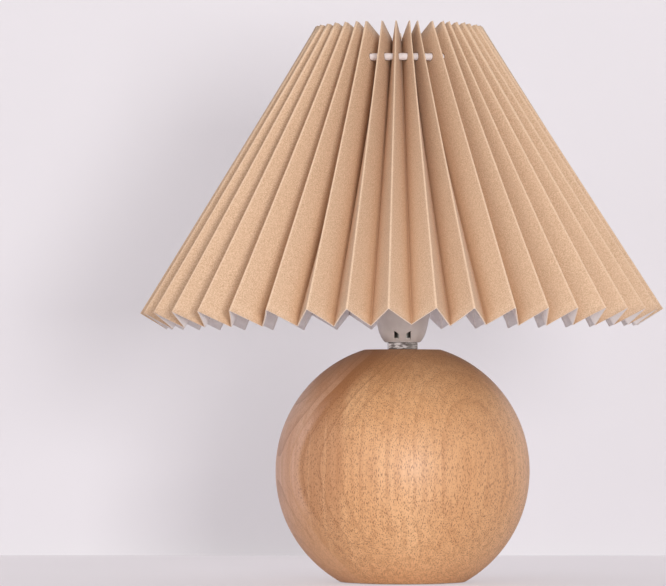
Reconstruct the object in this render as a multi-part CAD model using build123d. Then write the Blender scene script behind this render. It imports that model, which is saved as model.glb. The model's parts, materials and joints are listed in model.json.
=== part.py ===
from build123d import *
import os
from math import asin, cos, pi, radians, sin, sqrt, tan

# Table lamp: a turned wooden ball, a plastic screw lampholder with its bulb, a wire carrier
# and a pleated cone shade on a drawcord. Millimetres, +Z up, front towards -Y.
# The origin is the centre of the felt foot's underside.

# Wooden ball
ball_diameter = 140.6
top_flat_diameter = 42.0
foot_flat_diameter = 69.2
top_edge_round = 2.5
foot_edge_round = 0.5
cavity_diameter = 46.0
cavity_depth = 30.0
tube_hole_clearance = 0.3

# Felt foot, let into the ball
foot_thickness = 1.5
foot_proud = 0.3
foot_inset = 3.5
foot_clearance = 0.2

# Cord hole at the back of the ball, and its grommet
cord_bore_diameter = 7.0
cord_hole_rise = 23.5
grommet_wall = 1.2
grommet_flange_diameter = 14.0
grommet_flange_thickness = 1.5
grommet_clearance = 0.1
grommet_inner_margin = 2.0
grommet_recess_depth = 0.8

# Threaded tube with its nuts and washers
tube_diameter = 10.0
tube_bore_diameter = 7.4
tube_tail = 4.0
thread_clearance = 0.1
nut_across_flats = 16.0
nut_chamfer_angle = 30.0
top_nut_height = 4.0
top_nut_turn = 35.0
base_nut_height = 5.0
base_washer_diameter = 30.0
base_washer_thickness = 2.0
lock_washer_diameter = 18.0
lock_washer_thickness = 1.0
lock_washer_teeth = 12
lock_washer_notch = 1.2

# Lampholder cap: a bell on a small boss, with a snap tongue between two slots
cap_boss_radius = 9.7
cap_boss_height = 0.3
cap_heel_radius = 10.1
cap_heel_bulge = 0.35
cap_waist_radius = 13.3
cap_waist_height = 6.5
cap_shoulder_radius = 15.8
cap_shoulder_height = 18.0
cap_spigot_radius = 15.0
cap_spigot_wall = 1.8
cap_rim_height = 23.0
cap_floor = 2.4
cap_chamber_radius = 9.8
cap_ledge_height = 14.0
slot_inner = 1.9
slot_width = 2.6
slot_base_height = 1.7
slot_inner_height = 2.8
slot_outer_height = 4.5

# Threaded bush in the cap's floor
bush_radius = 7.5
bush_height = 10.0
tube_reach_in_cap = 9.0

# Terminal block, its two contacts and their screws
block_clearance = 0.15
block_flange_thickness = 2.0
contact_thickness = 0.6
contact_width = 4.0
contact_leg_offset = 9.2
contact_foot_length = 5.0
contact_slot_clearance = 0.15
centre_contact_rise = 2.5
centre_contact_half = 3.5
terminal_screw_diameter = 2.6
terminal_screw_depth = 6.0
terminal_head_diameter = 4.2
terminal_head_height = 1.8
terminal_slot_width = 0.8
terminal_slot_depth = 0.7

# Screw shell of the lampholder and the skirt around it
socket_thread_diameter = 27.0
shell_thickness = 0.5
shell_height = 24.0
shell_clearance = 0.2
skirt_wall = 3.0
skirt_flange_radius = 19.5
skirt_flange_thickness = 3.0
skirt_fit_clearance = 0.1
skirt_lip = 1.5

# Shade ring on the skirt's outer thread
shade_ring_radius = 22.0
shade_ring_height = 8.0
shade_ring_flutes = 18
shade_ring_flute_radius = 1.3

# Wire carrier: flat seat ring, three arms and a top ring
seat_ring_radius = 23.0
seat_ring_thickness = 1.5
seat_ring_play = 0.1
seat_ring_clearance = 0.4
carrier_arm_count = 3
carrier_arm_diameter = 2.8
carrier_knee_radius = 34.0
carrier_knee_bend = 8.0
carrier_top_radius = 38.0
carrier_wire_diameter = 3.0
carrier_height = 118.6

# Pleated shade: a rectangular strip of sheet, folded, closed to a ring and drawn in at the top
pleat_count = 40
pleat_width = 20.0
fold_length = 187.5
shade_bottom_radius = 144.5
shade_top_radius = 45.0
sheet_thickness = 0.6
panel_rows = 3
shade_rest_gap = 0.25

# Ridge folds at the front, in degrees from the lamp's front along the bottom and the top edge
front_folds_bottom = (
    -68.7, -58.8, -48.9, -39.2, -29.6, -20.2, -11.5, -2.7, 7.3,
    15.4, 24.5, 32.5, 40.3, 49.0, 57.2, 66.0, 75.2,
)
front_folds_top = (
    -70.2, -59.2, -49.3, -39.8, -30.5, -23.3, -11.9, -2.1, 7.3,
    13.0, 23.6, 31.6, 36.6, 43.5, 50.9, 58.1, 68.5,
)

# Drawcord through a hole in the middle of every panel
cord_setback = 17.5
drawcord_diameter = 4.0
drawcord_hole_clearance = 0.3

# Bulb with a screw cap
bulb_seat_gap = 0.1
bulb_thread_clearance = 0.4
bulb_tip_radius = 4.8
bulb_tip_height = 1.5
bulb_insulator_radius = 10.0
bulb_insulator_height = 3.5
bulb_shell_height = 20.0
bulb_shell_wall = 0.6
bulb_neck_radius = 14.2
bulb_neck_height = 9.0
bulb_globe_diameter = 60.0
bulb_length = 108.0
bulb_housing_height = 30.0
bulb_wall = 1.5
led_board_clearance = 0.3
led_board_thickness = 1.6
led_chip_count = 10
led_chip_size = 3.0
led_chip_height = 0.8
led_chip_margin = 5.0

# Heights of the ball and of what stands on it
ball_radius = ball_diameter / 2
foot_radius = foot_flat_diameter / 2
felt_radius = foot_radius - foot_inset
top_radius = top_flat_diameter / 2
ball_centre_z = foot_proud + sqrt(ball_radius**2 - foot_radius**2)
top_z = ball_centre_z + sqrt(ball_radius**2 - top_radius**2)
cavity_roof_z = foot_thickness + cavity_depth
base_washer_z = cavity_roof_z - base_washer_thickness
lock_washer_z = base_washer_z - lock_washer_thickness
base_nut_z = lock_washer_z - base_nut_height
cap_z = top_z + top_nut_height
rim_z = cap_z + cap_rim_height
block_top_z = rim_z + block_flange_thickness
carrier_seat_z = rim_z + skirt_flange_thickness + seat_ring_play
shade_ring_z = carrier_seat_z + seat_ring_thickness + seat_ring_play
arm_foot_z = carrier_seat_z + seat_ring_thickness / 2
carrier_top_z = arm_foot_z + carrier_height

# Radii of the lampholder's nested pieces
thread_hole_radius = tube_diameter / 2 + thread_clearance
cap_bore_radius = cap_spigot_radius - cap_spigot_wall
shell_radius = socket_thread_diameter / 2 + shell_thickness
skirt_bore_radius = shell_radius + shell_clearance
skirt_radius = skirt_bore_radius + skirt_wall
terminal_offset = contact_leg_offset - contact_foot_length / 2

# Cord hole and grommet
cord_hole_z = foot_thickness + cord_hole_rise
grommet_radius = cord_bore_diameter / 2 + grommet_wall
grommet_recess_radius = grommet_flange_diameter / 2 + grommet_clearance
grommet_low_z = cord_hole_z - grommet_recess_radius
grommet_low_reach = sqrt(ball_radius**2 - (ball_centre_z - grommet_low_z) ** 2)
grommet_seat_y = grommet_low_reach - grommet_recess_depth

# Bulb heights
bulb_z = block_top_z + centre_contact_rise + bulb_seat_gap
bulb_insulator_z = bulb_z + bulb_tip_height
bulb_shell_z = bulb_insulator_z + bulb_insulator_height
bulb_housing_z = bulb_shell_z + bulb_shell_height
bulb_neck_z = bulb_housing_z + bulb_neck_height
bulb_rim_z = bulb_neck_z + bulb_housing_height
bulb_shell_radius = socket_thread_diameter / 2 - bulb_thread_clearance
bulb_globe_radius = bulb_globe_diameter / 2
bulb_globe_z = bulb_z + bulb_length - bulb_globe_radius
bulb_rim_radius = sqrt(bulb_globe_radius**2 - (bulb_globe_z - bulb_rim_z) ** 2)

# Shade cone
shade_rise = sqrt(fold_length**2 - (shade_bottom_radius - shade_top_radius) ** 2)
shade_lean = asin((shade_bottom_radius - shade_top_radius) / fold_length)


def fold_angles(front):
    """Angles of all ridge folds along an edge: those given at the front, the rest spread evenly behind."""
    others = pleat_count - len(front)
    step = (360 + front[0] - front[-1]) / (others + 1)
    back = [front[-1] + step * (k + 1) for k in range(others)]
    return [radians(angle) for angle in (*front, *back)]


def half_angles(ridges):
    """Half of the angle from each ridge fold to the next one."""
    following = ridges[1:] + [ridges[0] + 2 * pi]
    return [(after - ridge) / 2 for ridge, after in zip(ridges, following)]


def valley_depth(ridge_radius, half_angle):
    """Distance, square to the ridge fold, from that fold to the valley fold, and the valley's radius."""
    steep = 1 / cos(shade_lean) ** 2
    a = cos(half_angle) ** 2 * steep + sin(half_angle) ** 2
    b = ridge_radius * cos(half_angle) * steep
    c = ridge_radius**2 * steep - pleat_width**2
    radius = (b - sqrt(b * b - a * c)) / a
    return (ridge_radius - radius) / cos(shade_lean), radius


def rest_height(bottom_half_angle, top_half_angle):
    """Height of the shade's top edge at which one valley fold leans on the carrier's top ring."""
    bottom_depth, bottom_valley = valley_depth(shade_bottom_radius, bottom_half_angle)
    top_depth, top_valley = valley_depth(shade_top_radius, top_half_angle)
    rise = shade_rise - (top_depth - bottom_depth) * sin(shade_lean)
    lean = (bottom_valley - top_valley) / rise
    rest_offset = (carrier_wire_diameter + sheet_thickness) / 2 + shade_rest_gap
    rest_radius = carrier_top_radius + rest_offset * sqrt(1 + lean**2)
    return carrier_top_z + (rest_radius - top_valley) / lean + top_depth * sin(shade_lean)


# Where the shade rests: on the valley folds that meet the carrier's top ring first
bottom_folds = fold_angles(front_folds_bottom)
top_folds = fold_angles(front_folds_top)
shade_top_z = max(map(rest_height, half_angles(bottom_folds), half_angles(top_folds)))
shade_bottom_z = shade_top_z - shade_rise

# The drawcord's ring, in the middle of the panels
top_depth, top_valley_radius = valley_depth(shade_top_radius, pi / pleat_count)
middle_top_radius = (shade_top_radius + top_valley_radius) / 2
cord_ring_radius = middle_top_radius + cord_setback * sin(shade_lean)
cord_ring_z = shade_top_z - top_depth / 2 * sin(shade_lean) - cord_setback * cos(shade_lean)


def disc(radius, low, high):
    """Upright cylinder on the lamp's axis between two heights."""
    return Pos(0, 0, low) * Cylinder(radius, high - low, align=(Align.CENTER, Align.CENTER, Align.MIN))


def ring(outer_radius, inner_radius, low, high):
    """Upright tube on the lamp's axis between two heights."""
    return disc(outer_radius, low, high) - disc(inner_radius, low, high)


def turned(*outline):
    """Solid turned about the lamp's axis from a closed outline of (radius, height) curves."""
    return revolve(Plane.XZ * make_face(outline), Axis.Z)


def hex_nut(height, low, turn):
    """Hexagon nut on the tube, with chamfered corners, turned about the axis."""
    flat = nut_across_flats / 2
    corner = flat / cos(radians(30))
    fall = (corner - flat) * tan(radians(nut_chamfer_angle))
    prism = extrude(RegularPolygon(flat, 6, major_radius=False), height)
    lower_crown = (0, 0), (flat, 0), (corner, fall)
    upper_crown = (corner, height - fall), (flat, height), (0, height)
    crown = turned(Polyline(*lower_crown, *upper_crown, close=True))
    bored = (prism & crown) - disc(thread_hole_radius, 0, height)
    return Pos(0, 0, low) * Rot(0, 0, turn) * bored


def wooden_ball():
    """Ball with flats at its top and foot, recess for the felt, tube hole, nut cavity and cord hole."""
    ball = turned(
        Polyline((top_radius, top_z), (0, top_z), (0, foot_proud), (foot_radius, foot_proud)),
        ThreePointArc((foot_radius, foot_proud), (ball_radius, ball_centre_z), (top_radius, top_z)),
    )
    ball = fillet(ball.edges().filter_by(GeomType.CIRCLE).sort_by(Axis.Z)[-1], top_edge_round)
    ball = fillet(ball.edges().filter_by(GeomType.CIRCLE).sort_by(Axis.Z)[0], foot_edge_round)
    ball -= disc(felt_radius + foot_clearance, foot_proud, foot_thickness)
    ball -= disc(tube_diameter / 2 + tube_hole_clearance, foot_thickness, top_z)
    ball -= disc(cavity_diameter / 2, foot_thickness, cavity_roof_z)
    ball -= back_cylinder(grommet_radius + grommet_clearance, 0, grommet_seat_y)
    return ball - back_cylinder(grommet_recess_radius, grommet_seat_y, ball_radius)


def back_cylinder(radius, start, end):
    """Cylinder along the cord hole's axis, towards the back, between two distances from the lamp's axis."""
    hole = Plane((0, start, cord_hole_z), x_dir=(1, 0, 0), z_dir=(0, 1, 0))
    return hole * Cylinder(radius, end - start, align=(Align.CENTER, Align.CENTER, Align.MIN))


def cord_grommet():
    """Flanged sleeve that lines the cord hole."""
    flange_end = grommet_seat_y + grommet_flange_thickness
    inner_end = cavity_diameter / 2 + grommet_inner_margin
    flange = back_cylinder(grommet_flange_diameter / 2, grommet_seat_y, flange_end)
    flange = fillet(flange.edges().sort_by(Axis.Y)[-1], grommet_flange_thickness / 2)
    sleeve = back_cylinder(grommet_radius, inner_end, grommet_seat_y)
    return flange + sleeve - back_cylinder(cord_bore_diameter / 2, inner_end, flange_end)


def felt_foot():
    """Round felt pad that closes the cavity and stands on the table."""
    return disc(felt_radius, 0, foot_thickness)


def threaded_tube():
    """Hollow tube from the cavity, through the ball, into the cap's bush."""
    return ring(tube_diameter / 2, tube_bore_diameter / 2, base_nut_z - tube_tail, cap_z + tube_reach_in_cap)


def base_washer():
    """Plain washer against the cavity's roof."""
    return ring(base_washer_diameter / 2, thread_hole_radius, base_washer_z, cavity_roof_z)


def lock_washer():
    """Toothed washer between the plain washer and the nut."""
    notch = Pos(lock_washer_diameter / 2, 0, lock_washer_z) * Cylinder(
        lock_washer_notch, lock_washer_thickness, align=(Align.CENTER, Align.CENTER, Align.MIN)
    )
    notches = [Rot(0, 0, k * 360 / lock_washer_teeth) * notch for k in range(lock_washer_teeth)]
    return ring(lock_washer_diameter / 2, thread_hole_radius, lock_washer_z, base_washer_z) - notches


def cap_slot(side):
    """One of the two slots beside the snap tongue, open at its outer upper corner."""
    near = side * slot_inner
    far = side * (slot_inner + slot_width)
    low = cap_z + slot_base_height
    corners = [
        (near, low),
        (far, low),
        (far, low + slot_outer_height),
        (near, low + slot_inner_height),
    ]
    prism = extrude(Plane.XZ * make_face(Polyline(*corners, close=True)), cap_shoulder_radius)
    return prism - disc(cap_chamber_radius, cap_z, rim_z)


def holder_cap():
    """Bell-shaped cap of the lampholder, with its chamber, ledge and snap slots front and back."""
    heel = (cap_heel_radius, cap_z + cap_boss_height)
    waist = (cap_waist_radius, cap_z + cap_waist_height)
    shoulder_z = cap_z + cap_shoulder_height
    ledge_z = cap_z + cap_ledge_height
    floor_z = cap_z + cap_floor
    bell = turned(
        SagittaArc(heel, waist, -cap_heel_bulge),
        Polyline(
            waist,
            (cap_shoulder_radius, shoulder_z),
            (cap_spigot_radius, shoulder_z),
            (cap_spigot_radius, rim_z),
            (cap_bore_radius, rim_z),
            (cap_bore_radius, ledge_z),
            (cap_chamber_radius, ledge_z),
            (cap_chamber_radius, floor_z),
            (bush_radius, floor_z),
            (bush_radius, cap_z),
            (cap_boss_radius, cap_z),
            (cap_boss_radius, cap_z + cap_boss_height),
            heel,
        ),
    )
    slots = [Rot(0, 0, turn) * cap_slot(side) for turn in (0, 180) for side in (-1, 1)]
    return bell - slots


def holder_bush():
    """Threaded bush that screws the cap onto the tube."""
    return ring(bush_radius, thread_hole_radius, cap_z, cap_z + bush_height)


def contact_strip(centre_line):
    """Metal strip of the contact width, bent along a line of (x, height) points."""
    profile = trace(Polyline(*centre_line), contact_thickness)
    return extrude(Plane.XZ * profile, contact_width / 2, both=True)


def contact_levels():
    """Heights of the middle of a contact strip on top of the block and under it."""
    return block_top_z + contact_thickness / 2, cap_z + cap_ledge_height - contact_thickness / 2


def terminal_block():
    """Insulating block on the cap's ledge and rim, slotted for the contact legs."""
    ledge_z = cap_z + cap_ledge_height
    block = disc(cap_bore_radius - block_clearance, ledge_z, rim_z)
    block += disc(skirt_bore_radius - shell_clearance, rim_z, block_top_z)
    slot_x = contact_thickness + 2 * contact_slot_clearance
    slot_y = contact_width + 2 * contact_slot_clearance
    slot_z = block_top_z - ledge_z
    slot = Pos(contact_leg_offset, 0, ledge_z + slot_z / 2) * Box(slot_x, slot_y, slot_z)
    screw_hole = Pos(terminal_offset, 0, ledge_z) * Cylinder(
        terminal_screw_diameter / 2 + thread_clearance,
        terminal_screw_depth,
        align=(Align.CENTER, Align.CENTER, Align.MIN),
    )
    return block - [Rot(0, 0, turn) * cut for turn in (0, 180) for cut in (slot, screw_hole)]


def terminal_hole():
    """Clearance hole for a terminal screw through a contact's foot."""
    foot_z = cap_z + cap_ledge_height - contact_thickness / 2
    return Pos(terminal_offset, 0, foot_z) * Cylinder(
        terminal_screw_diameter / 2 + thread_clearance, contact_thickness
    )


def centre_contact():
    """Spring strip from its terminal to the middle of the socket, under the bulb's tip."""
    top, foot = contact_levels()
    raised = block_top_z + centre_contact_rise - contact_thickness / 2
    half = centre_contact_half
    strip = contact_strip(
        [
            (half, raised),
            (-half, raised),
            (-half - centre_contact_rise, top),
            (-contact_leg_offset, top),
            (-contact_leg_offset, foot),
            (contact_foot_length - contact_leg_offset, foot),
        ]
    )
    return strip - Rot(0, 0, 180) * terminal_hole()


def side_contact():
    """Strip from its terminal to the screw shell."""
    top, foot = contact_levels()
    strip = contact_strip(
        [
            (socket_thread_diameter / 2 - contact_thickness, top),
            (contact_leg_offset, top),
            (contact_leg_offset, foot),
            (contact_leg_offset - contact_foot_length, foot),
        ]
    )
    return strip - terminal_hole()


def terminal_screws():
    """Two slotted screws that clamp the leads under the contacts."""
    seat_z = cap_z + cap_ledge_height - contact_thickness
    head_z = seat_z - terminal_head_height
    head = disc(terminal_head_diameter / 2, head_z, seat_z)
    shank = disc(terminal_screw_diameter / 2, seat_z, cap_z + cap_ledge_height + terminal_screw_depth)
    slot = Pos(0, 0, head_z + terminal_slot_depth / 2) * Box(
        terminal_head_diameter, terminal_slot_width, terminal_slot_depth
    )
    screw = head + shank - slot
    return Compound([Pos(side * terminal_offset, 0, 0) * screw for side in (-1, 1)])


def socket_shell():
    """Screw shell that the bulb's cap turns into."""
    return ring(shell_radius, socket_thread_diameter / 2, block_top_z, block_top_z + shell_height)


def holder_skirt():
    """Outer sleeve of the lampholder: collar on the cap, flange for the carrier, threaded barrel."""
    shell_top_z = block_top_z + shell_height
    mouth_z = shell_top_z + skirt_lip
    shoulder_z = cap_z + cap_shoulder_height
    collar_bore = cap_spigot_radius + skirt_fit_clearance
    flange_z = rim_z + skirt_flange_thickness
    return turned(
        Polyline(
            (collar_bore, shoulder_z),
            (skirt_radius, shoulder_z),
            (skirt_radius, rim_z),
            (skirt_flange_radius, rim_z),
            (skirt_flange_radius, flange_z),
            (skirt_radius, flange_z),
            (skirt_radius, mouth_z),
            (socket_thread_diameter / 2, mouth_z),
            (socket_thread_diameter / 2, shell_top_z),
            (skirt_bore_radius, shell_top_z),
            (skirt_bore_radius, rim_z + skirt_fit_clearance),
            (collar_bore, rim_z + skirt_fit_clearance),
            close=True,
        )
    )


def shade_ring():
    """Fluted ring that clamps the carrier's seat ring onto the skirt's flange."""
    top_z = shade_ring_z + shade_ring_height
    flute = Pos(shade_ring_radius, 0, 0) * disc(shade_ring_flute_radius, shade_ring_z, top_z)
    flutes = [Rot(0, 0, k * 360 / shade_ring_flutes) * flute for k in range(shade_ring_flutes)]
    return ring(shade_ring_radius, skirt_radius + thread_clearance, shade_ring_z, top_z) - flutes


def carrier_seat_ring():
    """Flat ring of the carrier, between the skirt's flange and the shade ring."""
    inner = skirt_radius + seat_ring_clearance
    return ring(seat_ring_radius, inner, carrier_seat_z, carrier_seat_z + seat_ring_thickness)


def carrier_top_ring():
    """Wire ring that the shade's valley folds rest on."""
    return Pos(0, 0, carrier_top_z) * Torus(carrier_top_radius, carrier_wire_diameter / 2)


def carrier_arms():
    """Bent wires from the seat ring up to the top ring, each cut to the top ring's wire."""
    path = Plane.XZ * FilletPolyline(
        (seat_ring_radius, arm_foot_z),
        (carrier_knee_radius, arm_foot_z),
        (carrier_top_radius, carrier_top_z),
        radius=carrier_knee_bend,
    )
    section = Plane(path @ 0, z_dir=path % 0) * Circle(carrier_arm_diameter / 2)
    arm = sweep(section, path) - carrier_top_ring()
    turns = [k * 360 / carrier_arm_count for k in range(carrier_arm_count)]
    return Compound([Rot(0, 0, turn) * arm.solid() for turn in turns])


def cut_edge(ridge_radius, ridge_z, ridges):
    """Corners of one cut edge of the pleated sheet, as an outer and an inner loop of points.

    The outer loop has two corners on each ridge and one in each valley, the inner loop one and two.
    """
    half_sheet = sheet_thickness / 2
    halves = half_angles(ridges)
    valleys = [valley_depth(ridge_radius, half) for half in halves]
    slants = [asin(radius * sin(half) / pleat_width) for half, (_, radius) in zip(halves, valleys)]

    def corner(offset, angle, aside):
        """Point at an offset square to the ridge fold, moved aside along the circle."""
        radius = ridge_radius + offset * cos(shade_lean)
        at = angle + aside / radius
        return Vector(radius * sin(at), -radius * cos(at), ridge_z + offset * sin(shade_lean))

    def flat(slant):
        """Half of the flat on the outside of a fold between panels at that slant."""
        return (half_sheet / sin(slant) - half_sheet) * tan(slant)

    outer, inner = [], []
    for k, ridge in enumerate(ridges):
        depth = valleys[k][0]
        valley = ridge + halves[k]
        valley_slant = asin(ridge_radius * sin(halves[k]) / pleat_width)
        ridge_mitre = half_sheet / sin((slants[k - 1] + slants[k]) / 2)
        outer.append(corner(half_sheet, ridge, -flat(slants[k - 1])))
        outer.append(corner(half_sheet, ridge, flat(slants[k])))
        outer.append(corner(half_sheet / sin(valley_slant) - depth, valley, 0))
        inner.append(corner(-ridge_mitre, ridge, 0))
        inner.append(corner(-depth - half_sheet, valley, -flat(valley_slant)))
        inner.append(corner(-depth - half_sheet, valley, flat(valley_slant)))
    return outer, inner


def ruled_face(first, second):
    """Face between two straight edges, each given by its two end points."""
    return Face.make_surface_from_curves(Edge.make_line(*first), Edge.make_line(*second))


def flat_face(*points):
    """Flat face with the given corners."""
    return Face(Wire.make_polygon(points, close=True))


def sheet_side(low, high, falling):
    """Flat facets of one side of the sheet, between its bottom and top loops of corners.

    The panels are twisted, so each is rows of two facets that meet on a diagonal from its ridge up to its
    valley. The panels at the given place in every three strips fall from ridge to valley.
    """
    steps = [row / panel_rows for row in range(panel_rows + 1)]
    lines = [[foot + (head - foot) * step for step in steps] for foot, head in zip(low, high)]
    faces = []
    for k, left in enumerate(lines):
        right = lines[(k + 1) % len(lines)]
        ridge, valley = (left, right) if k % 3 == falling else (right, left)
        for row in range(panel_rows):
            faces.append(flat_face(ridge[row], valley[row], valley[row + 1]))
            faces.append(flat_face(ridge[row], valley[row + 1], ridge[row + 1]))
    return faces


def sheet_rim(outer, inner):
    """Faces of one cut edge, between the outer and the inner loop."""
    faces = []
    count = len(outer)
    for k in range(0, count, 3):
        ridge_left, ridge_right, valley = outer[k : k + 3]
        ridge, valley_left, valley_right = inner[k : k + 3]
        faces.append(flat_face(ridge_left, ridge_right, ridge))
        faces.append(ruled_face((ridge_right, valley), (ridge, valley_left)))
        faces.append(flat_face(valley, valley_left, valley_right))
        faces.append(ruled_face((valley, outer[(k + 3) % count]), (valley_right, inner[(k + 3) % count])))
    return faces


def drawcord_ring(radius):
    """Ring of the given section radius along the drawcord's line."""
    return Pos(0, 0, cord_ring_z) * Torus(cord_ring_radius, radius)


def pleated_shade():
    """Folded sheet with a drawcord hole in every panel."""
    low_outer, low_inner = cut_edge(shade_bottom_radius, shade_bottom_z, bottom_folds)
    high_outer, high_inner = cut_edge(shade_top_radius, shade_top_z, top_folds)
    faces = sheet_side(low_outer, high_outer, 1) + sheet_side(low_inner, high_inner, 0)
    faces += sheet_rim(low_outer, low_inner) + sheet_rim(high_outer, high_inner)
    sheet = Solid(Shell(faces))
    return sheet - drawcord_ring(drawcord_diameter / 2 + drawcord_hole_clearance)


def drawcord():
    """Round cord that gathers the pleats at the top."""
    return drawcord_ring(drawcord_diameter / 2)


def bulb_tip():
    """Centre contact of the bulb's screw cap."""
    return disc(bulb_tip_radius, bulb_z, bulb_insulator_z)


def bulb_insulator():
    """Tapered insulator between the tip and the screw shell."""
    return turned(
        Polyline(
            (0, bulb_insulator_z),
            (bulb_tip_radius, bulb_insulator_z),
            (bulb_insulator_radius, bulb_shell_z),
            (0, bulb_shell_z),
            close=True,
        )
    )


def bulb_screw_shell():
    """Screw shell of the bulb, closed below by the insulator."""
    inner = bulb_shell_radius - bulb_shell_wall
    return disc(bulb_shell_radius, bulb_shell_z, bulb_housing_z) - disc(
        inner, bulb_shell_z + bulb_shell_wall, bulb_housing_z
    )


def bulb_housing():
    """Hollow neck that widens from the screw shell to the globe."""
    return turned(
        Polyline(
            (bulb_shell_radius, bulb_housing_z),
            (bulb_neck_radius, bulb_neck_z),
            (bulb_rim_radius, bulb_rim_z),
            (bulb_rim_radius - bulb_wall, bulb_rim_z),
            (bulb_neck_radius - bulb_wall, bulb_neck_z),
            (bulb_shell_radius - bulb_wall, bulb_housing_z),
            close=True,
        )
    )


def bulb_diffuser():
    """Hollow globe from the housing's rim to the top of the bulb."""
    centre = Pos(0, 0, bulb_globe_z)
    globe = centre * Sphere(bulb_globe_radius) - centre * Sphere(bulb_globe_radius - bulb_wall)
    below = disc(bulb_globe_diameter, bulb_globe_z - bulb_globe_diameter, bulb_rim_z)
    return globe - below


def bulb_led_board():
    """Round board just inside the housing's rim."""
    slope = (bulb_rim_radius - bulb_neck_radius) / bulb_housing_height
    low = bulb_rim_z - led_board_thickness
    radius = bulb_rim_radius - bulb_wall - led_board_clearance - slope * led_board_thickness
    return disc(radius, low, bulb_rim_z)


def bulb_led_chips():
    """Light-emitting chips in a circle on the board."""
    reach = bulb_rim_radius - bulb_wall - led_chip_margin
    chip = Pos(reach, 0, bulb_rim_z) * Box(
        led_chip_size, led_chip_size, led_chip_height, align=(Align.CENTER, Align.CENTER, Align.MIN)
    )
    return Compound([Rot(0, 0, k * 360 / led_chip_count) * chip.solid() for k in range(led_chip_count)])


nodes = {
    "wooden_ball": wooden_ball(),
    "felt_foot": felt_foot(),
    "cord_grommet": cord_grommet(),
    "threaded_tube": threaded_tube(),
    "base_washer": base_washer(),
    "lock_washer": lock_washer(),
    "base_nut": hex_nut(base_nut_height, base_nut_z, 0),
    "top_nut": hex_nut(top_nut_height, top_z, top_nut_turn),
    "holder_cap": holder_cap(),
    "holder_bush": holder_bush(),
    "terminal_block": terminal_block(),
    "centre_contact": centre_contact(),
    "side_contact": side_contact(),
    "terminal_screws": terminal_screws(),
    "socket_shell": socket_shell(),
    "holder_skirt": holder_skirt(),
    "shade_ring": shade_ring(),
    "carrier_seat_ring": carrier_seat_ring(),
    "carrier_arms": carrier_arms(),
    "carrier_top_ring": carrier_top_ring(),
    "pleated_shade": pleated_shade(),
    "drawcord": drawcord(),
    "bulb_tip": bulb_tip(),
    "bulb_insulator": bulb_insulator(),
    "bulb_screw_shell": bulb_screw_shell(),
    "bulb_housing": bulb_housing(),
    "bulb_diffuser": bulb_diffuser(),
    "bulb_led_board": bulb_led_board(),
    "bulb_led_chips": bulb_led_chips(),
}

os.makedirs("parts", exist_ok=True)
for name, shape in nodes.items():
    export_step(shape, f"parts/{name}.step")
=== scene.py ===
import json
import math
import random

import bmesh
import bpy
import numpy as np
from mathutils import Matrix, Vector


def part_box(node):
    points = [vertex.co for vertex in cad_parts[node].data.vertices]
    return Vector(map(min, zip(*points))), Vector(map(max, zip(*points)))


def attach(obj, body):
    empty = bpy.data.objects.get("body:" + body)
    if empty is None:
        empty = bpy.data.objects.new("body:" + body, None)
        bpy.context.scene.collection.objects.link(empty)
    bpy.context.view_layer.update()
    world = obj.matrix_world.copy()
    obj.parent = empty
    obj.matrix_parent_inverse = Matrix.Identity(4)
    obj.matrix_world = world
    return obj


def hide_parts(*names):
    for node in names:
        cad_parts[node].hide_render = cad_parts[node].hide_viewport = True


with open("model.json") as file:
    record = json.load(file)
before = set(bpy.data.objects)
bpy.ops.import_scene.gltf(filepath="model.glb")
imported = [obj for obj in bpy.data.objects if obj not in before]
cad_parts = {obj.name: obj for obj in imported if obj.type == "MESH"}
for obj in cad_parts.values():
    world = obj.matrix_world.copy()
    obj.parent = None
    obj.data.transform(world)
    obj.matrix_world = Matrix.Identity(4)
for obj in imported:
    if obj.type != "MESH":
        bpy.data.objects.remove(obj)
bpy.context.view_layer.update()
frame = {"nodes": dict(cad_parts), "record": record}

nodes = frame["nodes"]
scene = bpy.context.scene

# Places taken from the frame, in metres
nut_low, nut_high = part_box("top_nut")
foot_low, foot_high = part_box("felt_foot")
ring_low, ring_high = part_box("carrier_top_ring")
cord_low, cord_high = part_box("drawcord")
cord_radius = 0.002
cord_reach = cord_high.x - cord_radius
cord_height = (cord_low.z + cord_high.z) / 2


def srgb(red, green, blue):
    """Linear colour of an sRGB colour given from 0 to 255."""
    def linear(value):
        value /= 255
        return value / 12.92 if value <= 0.04045 else ((value + 0.055) / 1.055) ** 2.4

    return linear(red), linear(green), linear(blue), 1.0


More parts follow.
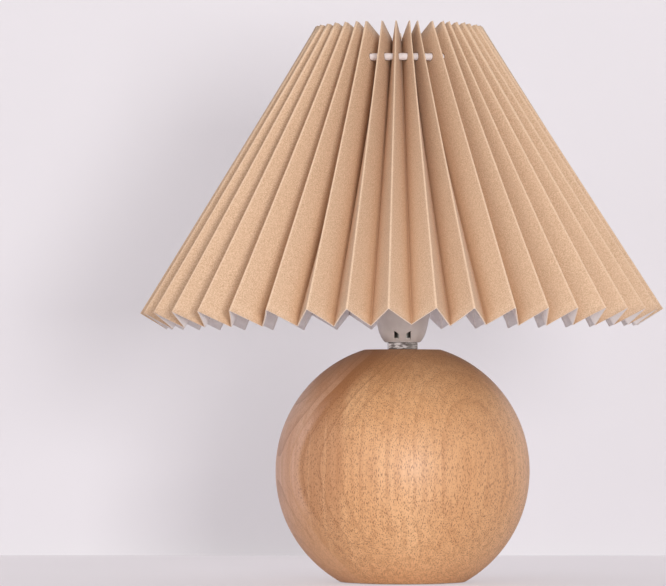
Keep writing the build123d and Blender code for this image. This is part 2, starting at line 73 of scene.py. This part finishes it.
class Material:
    """A node material under construction, with short calls for the nodes it needs."""

    def __init__(self, name, **constants):
        self.material = bpy.data.materials.new(name)
        self.material.use_nodes = True
        self.tree = self.material.node_tree
        self.shader = self.tree.nodes["Principled BSDF"]
        for socket, value in constants.items():
            self.shader.inputs[socket.replace("_", " ")].default_value = value

    def add(self, kind, inputs=None, **settings):
        node = self.tree.nodes.new(kind)
        for name, value in settings.items():
            setattr(node, name, value)
        for key, value in (inputs or {}).items():
            self.put(node.inputs[key], value)
        return node

    def put(self, socket, value):
        """Links a node's output to a socket, or sets the socket to a constant."""
        if isinstance(value, bpy.types.NodeSocket):
            self.tree.links.new(value, socket)
        else:
            socket.default_value = value

    def place(self):
        """Position in the lamp's frame, in metres."""
        return self.add("ShaderNodeTexCoord").outputs["Object"]

    def attribute(self, name):
        return self.add("ShaderNodeAttribute", attribute_name=name).outputs["Fac"]

    def axes(self, vector):
        """The X, Y and Z of a vector."""
        return self.add("ShaderNodeSeparateXYZ", {0: vector}).outputs

    def math(self, operation, *values):
        return self.add("ShaderNodeMath", dict(enumerate(values)), operation=operation).outputs[0]

    def times(self, first, second):
        return self.math("MULTIPLY", first, second)

    def vector(self, operation, *values):
        node = self.add("ShaderNodeVectorMath", dict(enumerate(values)), operation=operation)
        return node.outputs["Value" if operation in ("DISTANCE", "LENGTH") else "Vector"]

    def stretch(self, vector, x, y, z):
        return self.vector("MULTIPLY", vector, (x, y, z))

    def noise(self, vector, scale, detail=2.0, roughness=0.5, distortion=0.0):
        inputs = {
            "Vector": vector,
            "Scale": scale,
            "Detail": detail,
            "Roughness": roughness,
            "Distortion": distortion,
        }
        return self.add("ShaderNodeTexNoise", inputs).outputs[0]

    def cells(self, vector, scale):
        """A cell pattern: the Distance from each cell's point, and each cell's own Color."""
        return self.add("ShaderNodeTexVoronoi", {"Vector": vector, "Scale": scale}).outputs

    def span(self, value, low, high, to_low=0.0, to_high=1.0):
        """Smooth step of a value from one range to another."""
        inputs = {"Value": value, "From Min": low, "From Max": high, "To Min": to_low, "To Max": to_high}
        return self.add("ShaderNodeMapRange", inputs, interpolation_type="SMOOTHSTEP").outputs[0]

    def mix(self, share, first, second):
        return self.add("ShaderNodeMix", {0: share, 6: first, 7: second}, data_type="RGBA").outputs[2]

    def tint(self, colour, share, toward):
        """The colour, moved by a share towards an sRGB colour."""
        return self.mix(share, colour, srgb(*toward))

    def bump(self, height, distance, strength):
        inputs = {"Height": height, "Distance": distance, "Strength": strength}
        self.put(self.shader.inputs["Normal"], self.add("ShaderNodeBump", inputs).outputs[0])

    def colour(self, value):
        self.put(self.shader.inputs["Base Color"], value)

    def roughness(self, value):
        self.put(self.shader.inputs["Roughness"], value)


def wood():
    """Turned hardwood with upright grain: growth rings round two piths, pores, fibres and varnish.

    The core round the side pith has its own tone and rings and ends at a sharp edge.
    """
    main_pith, side_pith = (0.055, -0.075), (-0.045, -0.010)
    main_ring, side_ring, core_ring = 0.0071, 0.0041, 0.00483
    core_edge, edge_blur = 0.0289, 0.0002
    pale_height = 0.067
    wander_depth = 0.003
    bright_lines = (0.100, 0.110)

    m = Material("varnished_wood", Coat_Weight=0.15, Coat_Roughness=0.38)
    place = m.place()
    flat = m.stretch(place, 1, 1, 0)
    height = m.axes(place)["Z"]
    wander = m.noise(m.stretch(place, 1, 1, 0.4), 26, 2)
    wander = m.math("MULTIPLY_ADD", wander, 2 * wander_depth, -wander_depth)

    def reach(x, y):
        """Distance from an upright pith, with the grain's wander."""
        return m.math("ADD", m.vector("DISTANCE", flat, (x, y, 0)), wander)

    def rings(distance, width):
        """Rings that darken outwards up to a sharp line, every second one weaker."""
        count = m.math("DIVIDE", distance, width)
        parity = m.math("FRACT", m.times(m.math("FLOOR", count), 0.5))
        shape = m.math("POWER", m.math("FRACT", count), 3.5)
        # Parity is 0 or 0.5, so the strength is 1 or 0.35
        strength = m.math("MULTIPLY_ADD", parity, -1.3, 1.0)
        return m.times(shape, strength)

    def pores(length, scale, share):
        """Upright tubes that the turned surface cuts to dashes round its middle and to dots elsewhere."""
        cell = m.cells(m.stretch(place, 1, 1, 1 / length), scale)
        chosen = m.span(cell["Color"], 1 - share, 1.2 - share)
        return m.times(m.span(cell["Distance"], 0.14, 0.40, 1, 0), chosen)

    def band(distance, *stops):
        """Rises between the first two stops and falls between the last two."""
        rise = m.span(distance, stops[0], stops[1])
        return m.times(rise, m.span(distance, stops[2], stops[3], 1, 0))

    main, side = reach(*main_pith), reach(*side_pith)
    streaks = m.noise(m.stretch(place, 1, 1, 0.03), 330, 3, 0.55)
    fibres = m.noise(m.stretch(place, 1, 1, 0.05), 1100, 3, 0.6)
    clouds = m.noise(m.stretch(place, 1, 1, 0.3), 30, 2)

    # Rings, bands and stripes of the main wood
    ground = m.mix(m.span(clouds, 0.34, 0.66), srgb(219, 166, 117), srgb(231, 183, 136))
    ground = m.tint(ground, m.span(main, 0.030, 0.055, 0.55, 0.0), (203, 148, 99))
    ground = m.tint(ground, m.times(rings(main, main_ring), 0.30), (170, 114, 70))
    ground = m.tint(ground, m.times(band(main, 0.085, 0.094, 0.108, 0.130), 0.58), (176, 118, 76))
    stripes = m.times(rings(side, side_ring), band(side, 0.0300, 0.0325, 0.0470, 0.0600))
    ground = m.tint(ground, m.times(stripes, 0.6), (146, 92, 54))
    for bright in bright_lines:
        light = band(main, bright - 0.0012, bright - 0.0002, bright + 0.0002, bright + 0.0008)
        ground = m.tint(ground, m.times(light, 0.45), (224, 176, 132))

    # Core, with a dark margin and a pale one outside its edge
    core = m.mix(m.span(clouds, 0.36, 0.64), srgb(205, 154, 119), srgb(216, 171, 140))
    core = m.tint(core, m.times(rings(side, core_ring), 0.6), (162, 110, 76))
    margin = m.times(band(side, 0.0288, 0.0293, 0.0310, 0.0460), m.span(height, 0.05, 0.11, 0.2, 0.85))
    ground = m.tint(ground, margin, (166, 110, 70))
    ground = m.mix(m.span(side, core_edge - edge_blur, core_edge + edge_blur), core, ground)
    from_pale = m.math("ABSOLUTE", m.math("SUBTRACT", height, pale_height))
    pale = m.times(band(side, 0.0290, 0.0294, 0.0322, 0.0358), m.span(from_pale, 0.016, 0.040, 0.8, 0.0))
    ground = m.tint(ground, pale, (218, 173, 145))

    # Painted shade towards the top, under the lampshade, and painted light from the table towards the foot,
    # with streaks, fibres and pores
    ground = m.tint(ground, m.span(height, 0.096, 0.128, 0.0, 0.5), (176, 116, 66))
    ground = m.tint(ground, m.span(height, 0.004, 0.058, 0.6, 0.0), (240, 192, 142))
    ground = m.tint(ground, m.span(streaks, 0.42, 0.70, 0.0, 0.34), (182, 126, 80))
    ground = m.tint(ground, m.span(fibres, 0.45, 0.75, 0.0, 0.30), (178, 124, 80))
    dark = m.math("MAXIMUM", pores(3.5, 1250, 1.0), m.times(pores(2.5, 1800, 0.95), 0.85))
    dark = m.times(dark, m.span(side, 0.0290, 0.0370, 0.4, 1.0))
    m.colour(m.tint(ground, m.times(dark, m.span(height, 0.03, 0.07, 0.92, 0.74)), (122, 76, 44)))
    m.roughness(m.math("MULTIPLY_ADD", fibres, 0.16, 0.40))
    m.bump(m.math("MULTIPLY_ADD", dark, -0.8, m.times(fibres, 0.5)), 0.00006, 0.5)
    return m.material


def shade_fabric():
    """Matt tan laminate with a fine speckle, its ridges paler from wear and a painted highlight, with
    painted shade in its valleys and a painted shadow round the cord.
    """
    m = Material("shade_fabric", Roughness=0.8, Sheen_Weight=0.08, Sheen_Roughness=0.5)
    place = m.place()
    from_ridge, from_valley = m.attribute("from_ridge"), m.attribute("from_valley")
    speckle = m.noise(place, 1500, 3, 0.65)
    mottle = m.noise(place, 90, 3, 0.55)
    tan = m.mix(m.span(speckle, 0.34, 0.66), srgb(193, 159, 127), srgb(223, 192, 162))
    tan = m.tint(tan, m.span(mottle, 0.35, 0.65, 0.0, 0.25), (213, 180, 150))
    # Ridges paler from wear and a painted highlight, broken up by noise
    wear_and_highlight = m.span(m.noise(place, 700, 2), 0.25, 0.6, 0.55, 1.0)
    tan = m.tint(tan, m.times(m.span(from_ridge, 0.0003, 0.0011, 0.55, 0.0), wear_and_highlight), (234, 205, 176))
    # Painted shade deep in the valleys, a broad tint and then a narrow darker one
    tan = m.tint(tan, m.span(from_valley, 0.001, 0.0105, 0.45, 0.0), (190, 143, 100))
    tan = m.tint(tan, m.span(from_valley, 0.0, 0.0042, 0.48, 0.0), (154, 106, 68))
    # Painted shadow in a ring round the cord where it passes through the sheet
    aside = m.math("SUBTRACT", m.vector("LENGTH", m.stretch(place, 1, 1, 0)), cord_reach)
    above = m.math("SUBTRACT", m.axes(place)["Z"], cord_height)
    from_cord = m.math("SQRT", m.math("ADD", m.math("POWER", aside, 2.0), m.math("POWER", above, 2.0)))
    hole_shadow = m.span(from_cord, cord_radius + 0.0001, cord_radius + 0.0008, 0.75, 0.0)
    m.colour(m.tint(tan, hole_shadow, (112, 78, 52)))
    weave = m.noise(place, 2600, 2, 0.6)
    m.bump(m.math("ADD", speckle, m.times(weave, 0.6)), 0.0001, 0.35)
    return m.material


def fibrous(name, dark, light, scale, detail, **constants):
    """Paper or cord, whose fine fibres vary its tone and roughen its surface."""
    m = Material(name, **constants)
    fibres = m.noise(m.place(), scale, detail, 0.6)
    m.colour(m.mix(fibres, dark, light))
    m.bump(fibres, 0.0001, 0.4)
    return m.material


def felt():
    """Brown wool felt."""
    m = Material("felt", Roughness=0.95, Sheen_Weight=0.4, Sheen_Roughness=0.6)
    fibres = m.noise(m.place(), 1100, 4, 0.7, 0.6)
    m.colour(m.mix(fibres, srgb(70, 52, 40), srgb(120, 94, 74)))
    m.bump(fibres, 0.0004, 0.7)
    return m.material


def moulded(name, dark, light, roughness, grain=900, depth=0.00003):
    """Moulded plastic or paint: slight mottle, fine surface grain and uneven gloss."""
    unevenness = 0.18
    m = Material(name)
    place = m.place()
    mottle = m.noise(place, 120, 3)
    texture = m.noise(place, grain, 3, 0.55)
    m.colour(m.mix(m.span(mottle, 0.3, 0.7), dark, light))
    m.roughness(m.math("MULTIPLY_ADD", texture, unevenness, roughness - unevenness / 2))
    m.bump(texture, depth, 0.5)
    return m.material


def metal(name, dark, light, roughness, around=True):
    """Plated or turned metal with slight tarnish and fine tool marks, mostly round the lamp's axis."""
    m = Material(name, Metallic=1.0)
    place = m.place()
    marks = m.noise(m.stretch(place, 0.08, 0.08, 1) if around else place, 2600, 3, 0.6)
    tarnish = m.noise(place, 220, 4, 0.6)
    m.colour(m.mix(m.span(tarnish, 0.3, 0.75), light, dark))
    m.roughness(m.math("MULTIPLY_ADD", tarnish, 0.16, roughness - 0.06))
    m.bump(marks, 0.00002, 0.35)
    return m.material


def bright_plate(low, high):
    """Bright plated nut between two heights, with painted glints and reflections, a painted darker
    reflection at its right and painted shade at its top and its foot.
    """
    m = Material("bright_nut", Metallic=1.0)
    place = m.place()
    axes = m.axes(place)
    # Painted glints and reflections: noise that brightens and darkens the plate's colour
    glints = m.noise(m.stretch(place, 0.45, 0.45, 1.4), 520, 2, 0.5)
    plate = m.mix(m.span(glints, 0.38, 0.62), srgb(110, 100, 95), srgb(212, 203, 196))
    # Painted darker reflection on the right-hand faces
    plate = m.tint(plate, m.span(axes["X"], 0.0018, 0.0034, 0.0, 0.55), (132, 126, 116))
    # Painted shade at the foot, on the wood, and at the top, under the holder's cap
    plate = m.tint(plate, m.span(axes["Z"], low, low + 0.0007, 0.8, 0.0), (62, 50, 42))
    plate = m.tint(plate, m.span(axes["Z"], high - 0.0005, high, 0.0, 0.6), (84, 74, 68))
    m.colour(plate)
    m.roughness(m.math("MULTIPLY_ADD", glints, 0.16, 0.06))
    m.bump(glints, 0.00006, 0.5)
    return m.material


def opal():
    """Opal plastic of the bulb's dome."""
    m = Material("bulb_diffuser", Subsurface_Weight=0.25, Subsurface_Scale=0.004, Roughness=0.32)
    place = m.place()
    m.colour(m.mix(m.noise(place, 60, 2), srgb(238, 235, 230), srgb(250, 248, 244)))
    m.bump(m.noise(place, 1400, 2), 0.00002, 0.3)
    return m.material


def circuit_board():
    """White solder mask with greyer copper tracks under it."""
    m = Material("led_board", Roughness=0.4)
    cell = m.cells(m.stretch(m.place(), 1, 1, 0.01), 180)
    tracks = m.span(cell["Distance"], 0.3, 0.36)
    m.colour(m.mix(tracks, srgb(232, 233, 226), srgb(206, 212, 200)))
    m.bump(tracks, 0.00003, 0.4)
    return m.material


lining = fibrous("shade_lining", srgb(226, 219, 217), srgb(244, 240, 238), 900, 4, Roughness=0.8)
cut_edge = fibrous("shade_cut_edge", srgb(226, 200, 176), srgb(248, 234, 218), 2200, 2, Roughness=0.85)
cotton = fibrous(
    "drawcord_cotton", srgb(212, 203, 203), srgb(238, 231, 231), 2400, 2, Roughness=0.9, Sheen_Weight=0.2,
)
materials = {
    "wood": wood(),
    "felt": felt(),
    "grommet_plastic": moulded("grommet_plastic", srgb(74, 56, 44), srgb(92, 71, 56), 0.45),
    "plated_steel": metal("plated_steel", srgb(150, 148, 140), srgb(196, 195, 188), 0.34),
    "bright_nut": bright_plate(nut_low.z, nut_high.z),
    "holder_plastic": moulded("holder_plastic", srgb(211, 199, 191), srgb(223, 212, 204), 0.4),
    "insulator": moulded("insulator", srgb(226, 216, 198), srgb(240, 232, 216), 0.5),
    "brass": metal("brass", srgb(186, 146, 82), srgb(226, 190, 118), 0.28),
    "carrier_paint": moulded(
        "carrier_paint", srgb(232, 228, 224), srgb(244, 241, 238), 0.42, grain=1600, depth=0.00004,
    ),
    "shade_fabric": shade_fabric(),
    "drawcord_cotton": cotton,
    "bulb_solder": metal("bulb_solder", srgb(150, 150, 152), srgb(190, 190, 192), 0.42, around=False),
    "bulb_black": moulded("bulb_black", srgb(22, 20, 24), srgb(34, 30, 36), 0.2),
    "bulb_cap_metal": metal("bulb_cap_metal", srgb(196, 192, 184), srgb(226, 223, 216), 0.22),
    "bulb_white": moulded("bulb_white", srgb(236, 235, 231), srgb(246, 245, 242), 0.42),
    "bulb_diffuser": opal(),
    "led_board": circuit_board(),
    "led_phosphor": moulded("led_phosphor", srgb(232, 196, 92), srgb(246, 216, 120), 0.45, grain=2400),
}

# Solids that new pieces stand for, by piece; every other solid gets the material of its slot in the record
stands_for = {"shade_sheet": "pleated_shade", "drawcord_braid": "drawcord", "felt_pad": "felt_foot"}
for part in frame["record"]["subparts"]:
    if part["node"] not in stands_for.values():
        mesh = nodes[part["node"]].data
        mesh.materials.clear()
        mesh.materials.append(materials[part["material_slot"]])


def piece(name, mesh, body):
    """A new piece of the lamp that rides on a body and stands for a solid."""
    made = bpy.data.objects.new(name, mesh)
    scene.collection.objects.link(made)
    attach(made, body)
    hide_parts(stands_for[name])
    return made


def grid_mesh(name, points, close_rows=False, close_columns=False):
    """Smooth mesh of quads over an array of points [row, column, xyz]."""
    rows, columns = points.shape[:2]
    faces = []
    for r in range(rows if close_rows else rows - 1):
        for c in range(columns if close_columns else columns - 1):
            s, d = (r + 1) % rows, (c + 1) % columns
            faces.append((r * columns + c, r * columns + d, s * columns + d, s * columns + c))
    mesh = bpy.data.meshes.new(name)
    mesh.from_pydata(points.reshape(-1, 3).tolist(), [], faces)
    mesh.polygons.foreach_set("use_smooth", [True] * len(faces))
    return mesh


# Pleated shade: size of the strip, radius and height of the ridges at both cut edges
pleats = 40
panel_width = 0.020
fold_length = 0.1875
sheet_thickness = 0.0006
low_radius, high_radius = 0.1445, 0.045
lean = math.asin((low_radius - high_radius) / fold_length)
shade_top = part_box("pleated_shade")[1].z - sheet_thickness / 2 * math.sin(lean)
shade_low = (low_radius, shade_top - fold_length * math.cos(lean))
shade_high = (high_radius, shade_top)

# Least reach of the valley folds' middle surface where they pass the carrier's top ring
valley_clearance = 0.000944
ring_height = (ring_low.z + ring_high.z) / 2
ring_reach = ring_high.x + valley_clearance

# Unevenness of the fabric: sideways shift of both edges, slopes of the bottom edge, roundings and bows
low_shift, high_shift = -0.0005, -0.0018
low_tilt = (0.0083, 0.006)
tip_round, tip_reach = 0.0008, 0.0014
valley_round, valley_reach = 0.0005, 0.0005
fold_blunting = 0.00024
bow_range = (-0.0006, 0.0007)

# Angles of the front ridge folds at both edges, in degrees from the front
front_low = (
    -68.7, -58.8, -48.9, -39.2, -29.6, -20.2, -11.5, -2.7, 7.3,
    15.4, 24.5, 32.5, 40.3, 49.0, 57.2, 66.0, 75.2,
)
front_high = (
    -70.2, -59.2, -49.3, -39.8, -30.5, -23.3, -11.9, -2.1, 7.3,
    13.0, 23.6, 31.6, 36.6, 43.5, 50.9, 58.1, 68.5,
)

# Rows of points along a fold, and shares of a panel's width at which its points lie
fold_rows = 33
across = (0.0, 0.022, 0.06, 0.14, 0.27, 0.42, 0.58, 0.73, 0.86, 0.94, 0.978)


def fold_angles(front):
    """Angles of all ridge folds: those at the front as listed, the others spread evenly behind."""
    others = pleats - len(front)
    step = (360 + front[0] - front[-1]) / (others + 1)
    return np.radians([*front, *(front[-1] + step * (k + 1) for k in range(others))])


def valley_radius(ridge_radius, half_angle):
    """Radius of the valley fold between two ridges, from the panel's width."""
    steep = 1 / math.cos(lean) ** 2
    a = np.cos(half_angle) ** 2 * steep + np.sin(half_angle) ** 2
    b = ridge_radius * np.cos(half_angle) * steep
    c = ridge_radius**2 * steep - panel_width**2
    return (b - np.sqrt(b * b - a * c)) / a


def on_circle(radius, angle, height):
    return np.stack([radius * np.sin(angle), -radius * np.cos(angle), height + 0 * angle], -1)


def fold_ends(ridge_angles, edge):
    """Ends of the ridge folds along one cut edge, and the radii, angles and heights of the valley folds."""
    radius, height = edge
    following = np.append(ridge_angles[1:], ridge_angles[0] + 2 * np.pi)
    half = (following - ridge_angles) / 2
    inner = valley_radius(radius, half)
    drop = (radius - inner) * math.tan(lean)
    return on_circle(radius, ridge_angles, height), inner, ridge_angles + half, height - drop


def fold_lines():
    """Points along every ridge fold and every valley fold, from the bottom edge to the top."""
    low_ridges, low_inner, low_valley, low_height = fold_ends(fold_angles(front_low), shade_low)
    high_ridges, high_inner, high_valley, high_height = fold_ends(fold_angles(front_high), shade_high)
    low_valleys = on_circle(low_inner, low_valley, low_height)
    for edge in (low_ridges, low_valleys):
        edge[:, 0] += low_shift
        edge[:, 2] += low_tilt[0] * edge[:, 0] + low_tilt[1] * (edge[:, 1] + shade_low[0])
    high_ridges[:, 0] += high_shift
    # Valleys that would cut into the carrier's ring move out in a few rounds
    for _ in range(3):
        high_valleys = on_circle(high_inner, high_valley, high_height)
        high_valleys[:, 0] += high_shift
        share = ((ring_height - low_height) / (high_height - low_height))[:, None]
        reach = np.linalg.norm((low_valleys * (1 - share) + high_valleys * share)[:, :2], axis=1)
        high_inner = high_inner + np.maximum(0, ring_reach - reach)
    rows = np.linspace(0, 1, fold_rows)[:, None]
    ridges = [low * (1 - rows) + high * rows for low, high in zip(low_ridges, high_ridges)]
    valleys = [low * (1 - rows) + high * rows for low, high in zip(low_valleys, high_valleys)]
    return ridges, valleys


def pleated_shade():
    """The folded sheet as a middle surface of straight folds and slightly bowed panels."""
    chance = random.Random(7)
    ridges, valleys = fold_lines()
    rows = np.linspace(0, 1, fold_rows)[:, None]
    columns, from_ridge, from_valley = [], [], []
    for k in range(pleats):
        ridge, valley, ridge_after = ridges[k], valleys[k], ridges[(k + 1) % pleats]
        out = ridge - valley + ridge_after - valley
        out /= np.linalg.norm(out, axis=1)[:, None]
        aside = ridge_after - ridge
        opening = np.linalg.norm(aside, axis=1)[:, None]
        for start, end, falling in ((ridge, valley, True), (valley, ridge_after, False)):
            bow = chance.uniform(*bow_range)
            phase = chance.uniform(0, 2 * math.pi)
            swing = 0.65 + 0.35 * np.sin(2 * math.pi * rows + phase)
            for t in across:
                point = start * (1 - t) + end * t + out * bow * math.sin(math.pi * t) * swing
                to_ridge = panel_width * (t if falling else 1 - t)
                to_valley = panel_width - to_ridge
                # Panels keep apart beside a valley, so that the two sides of the sheet don't cross
                least = valley_round * min(1, to_valley / valley_reach)
                spread = np.maximum(0, least - to_valley / panel_width * opening / 2)
                point = point + aside / opening * spread * (-1 if falling else 1)
                # The ridges' tips are rounded off at the top edge
                trim = tip_round * max(0, 1 - to_ridge / tip_reach) ** 2 / fold_length
                point[-1] += (point[-2] - point[-1]) * trim * (fold_rows - 1)
                if t == 0:
                    point = point + out * (-fold_blunting if falling else fold_blunting)
                columns.append(point)
                from_ridge.append(to_ridge)
                from_valley.append(to_valley)
    mesh = grid_mesh("pleated_shade", np.stack(columns, 1), close_columns=True)
    for name, values in (("from_ridge", from_ridge), ("from_valley", from_valley)):
        layer = mesh.attributes.new(name, "FLOAT", "POINT")
        layer.data.foreach_set("value", np.tile(np.array(values, np.float32), fold_rows))
    for material in (materials["shade_fabric"], lining, cut_edge):
        mesh.materials.append(material)
    return mesh


def thickened(mesh, thickness):
    """The mesh as a sheet, with its back and its cut edges in the second and third material."""
    holder = bpy.data.objects.new("sheet", mesh)
    scene.collection.objects.link(holder)
    solidify = holder.modifiers.new("thickness", "SOLIDIFY")
    solidify.thickness = thickness
    solidify.offset = 0
    solidify.use_even_offset = True
    solidify.material_offset = 1
    solidify.material_offset_rim = 2
    graph = bpy.context.evaluated_depsgraph_get()
    made = bpy.data.meshes.new_from_object(holder.evaluated_get(graph))
    bpy.data.objects.remove(holder)
    return made


shade = piece("shade_sheet", thickened(pleated_shade(), sheet_thickness), "shade")


# Drawcord
def drawcord():
    """Closed ring of braided cord."""
    around, section = 900, 20
    strands, turns, relief = 4, 75, 0.00012
    u = np.linspace(0, 2 * np.pi, around, endpoint=False)[:, None]
    v = np.linspace(0, 2 * np.pi, section, endpoint=False)[None, :]
    braid = np.maximum(np.cos(strands * v + turns * u), np.cos(strands * v - turns * u))
    radius = cord_radius - relief * (1 - braid)
    reach = cord_reach + radius * np.cos(v)
    height = cord_height + radius * np.sin(v)
    mesh = grid_mesh("drawcord", on_circle(reach, u, height), close_rows=True, close_columns=True)
    mesh.materials.append(cotton)
    return mesh


piece("drawcord_braid", drawcord(), "shade")

# Felt foot
pad_width = foot_high.x - foot_low.x


def felt_disc():
    """Round felt pad with soft, slightly uneven edges."""
    steps, soft, ragged_depth, hub = 160, 0.0003, 0.00025, 0.0004
    chance = random.Random(3)
    radius = pad_width / 2
    bottom, top = foot_low.z, foot_high.z
    outline = (
        (hub, bottom),
        (radius / 2, bottom),
        (radius - 3 * soft, bottom),
        (radius - soft, bottom + soft),
        (radius, (bottom + top) / 2),
        (radius - soft, top - soft),
        (radius - 2 * soft, top),
        (radius / 2, top),
        (hub, top),
    )
    rows = []
    for reach, height in outline:
        row = []
        for k in range(steps):
            angle = 2 * math.pi * k / steps
            ragged = reach - (chance.uniform(0, ragged_depth) if reach > radius / 2 else 0)
            row.append((ragged * math.cos(angle), ragged * math.sin(angle), height))
        rows.append(row)
    mesh = grid_mesh("felt_pad", np.array(rows), close_columns=True)
    shape = bmesh.new()
    shape.from_mesh(mesh)
    bmesh.ops.holes_fill(shape, edges=[e for e in shape.edges if e.is_boundary])
    bmesh.ops.recalc_face_normals(shape, faces=shape.faces)
    shape.to_mesh(mesh)
    shape.free()
    mesh.materials.append(materials["felt"])
    return mesh


pad = piece("felt_pad", felt_disc(), "base")

# Stage: a pale table top that ends behind the lamp, and a pale wall beyond it
stage_side = 1.6
table_front, table_back, table_height = -1.4, 0.428, -0.0001
wall_reach, wall_foot, wall_top = 0.44, -0.4, 1.6


def stage_plane(name, near, far, material):
    """Plane across the picture between two edges, each given by its Y and Z."""
    mesh = bpy.data.meshes.new(name)
    corners = [(-stage_side, *near), (stage_side, *near), (stage_side, *far), (-stage_side, *far)]
    mesh.from_pydata(corners, [], [(0, 1, 2, 3)])
    mesh.materials.append(material)
    made = bpy.data.objects.new(name, mesh)
    scene.collection.objects.link(made)


def stage_material(name, dark, light, shown):
    """Plain matt paint, of which the camera sees a share in its own pale colour. It is clear from behind."""
    m = Material(name, Roughness=0.9)
    paint = m.mix(m.noise(m.place(), 6, 3), dark, light)
    m.colour(paint)
    glow = m.add("ShaderNodeEmission", {"Color": paint}).outputs[0]
    share = m.times(m.add("ShaderNodeLightPath").outputs["Is Camera Ray"], shown)
    face = m.add("ShaderNodeMixShader", {0: share, 1: m.shader.outputs[0], 2: glow}).outputs[0]
    clear = m.add("ShaderNodeBsdfTransparent").outputs[0]
    behind = m.add("ShaderNodeNewGeometry").outputs["Backfacing"]
    face = m.add("ShaderNodeMixShader", {0: behind, 1: face, 2: clear}).outputs[0]
    m.put(m.tree.nodes["Material Output"].inputs["Surface"], face)
    return m.material


table_paint = stage_material("table_paint", srgb(230, 224, 228), srgb(233, 227, 231), shown=0.55)
wall_paint = stage_material("wall_paint", srgb(230, 226, 230), srgb(234, 230, 234), shown=0.30)
stage_plane("table_top", (table_front, table_height), (table_back, table_height), table_paint)
stage_plane("wall", (wall_reach, wall_foot), (wall_reach, wall_top), wall_paint)

# Light: an even fill, in whose place the camera and mirror rays meet a pale backdrop
world = bpy.data.worlds.new("studio")
scene.world = world
world.use_nodes = True
sky = world.node_tree
fill = sky.nodes["Background"]
fill.inputs["Color"].default_value = (1.0, 0.965, 0.97, 1.0)
fill.inputs["Strength"].default_value = 0.62
backdrop = sky.nodes.new("ShaderNodeBackground")
backdrop.inputs["Color"].default_value = srgb(232, 227, 231)
rays = sky.nodes.new("ShaderNodeLightPath")
seen = rays.outputs["Is Camera Ray"]
for kind in ("Is Glossy Ray", "Is Transmission Ray"):
    either = sky.nodes.new("ShaderNodeMath")
    either.operation = "MAXIMUM"
    sky.links.new(seen, either.inputs[0])
    sky.links.new(rays.outputs[kind], either.inputs[1])
    seen = either.outputs[0]
chosen = sky.nodes.new("ShaderNodeMixShader")
sky.links.new(seen, chosen.inputs[0])
sky.links.new(fill.outputs[0], chosen.inputs[1])
sky.links.new(backdrop.outputs[0], chosen.inputs[2])
sky.links.new(chosen.outputs[0], sky.nodes["World Output"].inputs["Surface"])


def soft_light(name, place, aim, size, power):
    """Square area light that the camera doesn't see."""
    data = bpy.data.lights.new(name, "AREA")
    data.shape = "SQUARE"
    data.size = size
    data.energy = power
    lamp = bpy.data.objects.new(name, data)
    lamp.location = place
    lamp.rotation_euler = (Vector(aim) - Vector(place)).to_track_quat("-Z", "Y").to_euler()
    lamp.visible_camera = False
    scene.collection.objects.link(lamp)


soft_light("key", place=(0.43, -2.4, 0.27), aim=(0, 0, 0.17), size=0.44, power=30.4)
soft_light("side", place=(-1.15, -2.0, 0.35), aim=(0, 0, 0.12), size=1.2, power=8.5)

# Camera, in front of the lamp and a little below its middle
camera_data = bpy.data.cameras.new("camera")
camera_data.sensor_width = 36
camera_data.lens = 253.89
camera_data.clip_end = 20
camera = bpy.data.objects.new("camera", camera_data)
camera.location = (0, -2.6, 0.1051)
camera.rotation_euler = (math.radians(91.2075), 0, math.radians(0.8478))
scene.collection.objects.link(camera)
scene.camera = camera
scene.view_settings.view_transform = "Standard"
